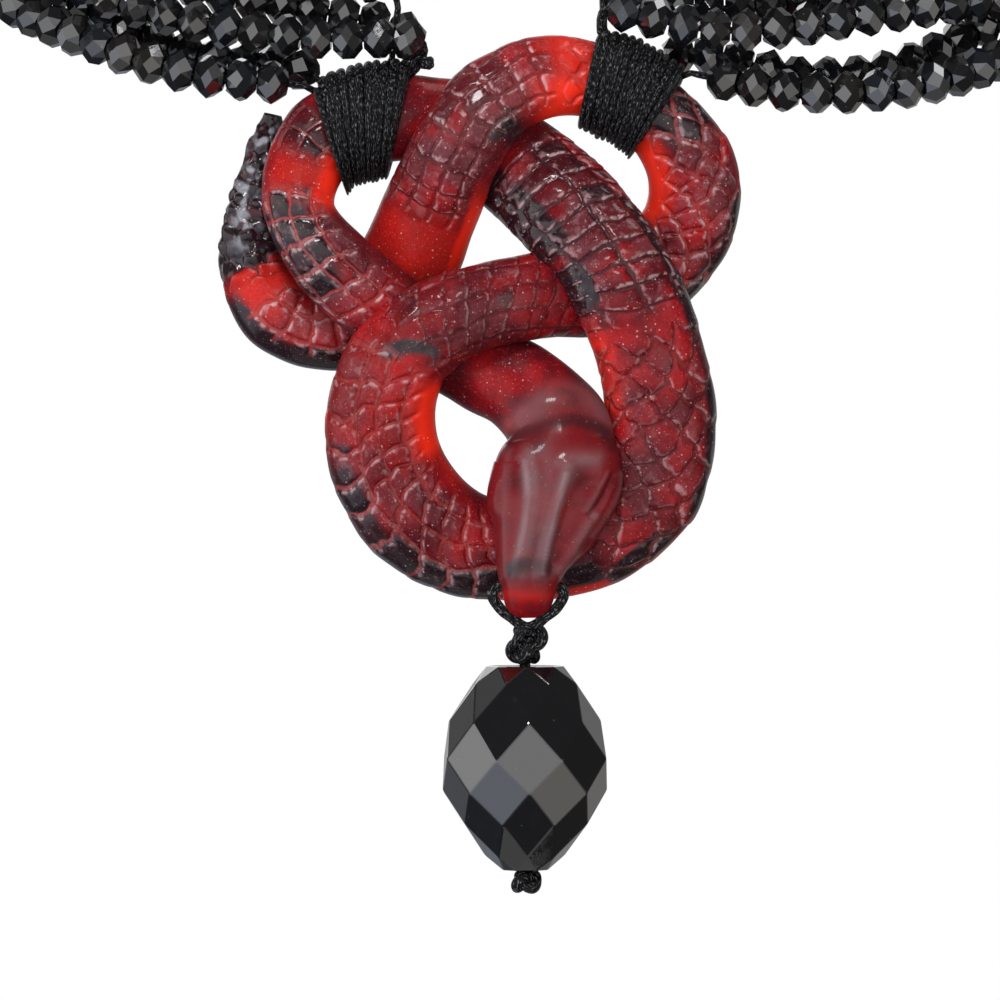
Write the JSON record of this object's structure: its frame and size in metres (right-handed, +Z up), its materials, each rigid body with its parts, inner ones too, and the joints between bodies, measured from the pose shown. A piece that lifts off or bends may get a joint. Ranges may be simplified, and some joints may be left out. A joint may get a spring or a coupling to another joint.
{
  "type": "snake necklace",
  "caption": "Necklace of black faceted bead strands that holds a red resin snake tied in a knot, head down, with a black faceted drop bead that swings from a cord through its snout.",
  "frame": {"origin": "the point of the clasp that rests on the nape, at the front of the clasp's middle, with the necklace hung as it is worn", "axes": "+Z up, -Y the way the wearer faces, +X the wearer's left, which is the right-hand side of the picture"},
  "size_m": [0.1408, 0.1443, 0.1846],
  "materials": {
    "resin": "polished translucent deep red resin with smoky black streaks",
    "black_glass": "opaque black faceted glass",
    "black_cord": "black waxed cord and thread",
    "clasp": "satin steel"
  },
  "bodies": {
    "necklace": {"snake": "resin", "wrap_left": "black_cord", "wrap_right": "black_cord", "strand_left_1": "black_glass", "strand_left_2": "black_glass", "strand_left_3": "black_glass", "strand_left_4": "black_glass", "strand_left_5": "black_glass", "strand_right_1": "black_glass", "strand_right_2": "black_glass", "strand_right_3": "black_glass", "strand_right_4": "black_glass", "strand_right_5": "black_glass", "thread_left_1": "black_cord", "thread_left_2": "black_cord", "thread_right_1": "black_cord", "thread_right_2": "black_cord", "clasp": "clasp"},
    "drop": {"drop_cord": "black_cord", "drop_bead": "black_glass"}
  },
  "joints": [
    {"name": "drop_swing", "type": "hinge", "parent": "necklace", "child": "drop", "pos_m": [0.0031, -0.1282, -0.1451], "axis": [1, 0, 0], "range_deg": [-75, 45]}
  ]
}
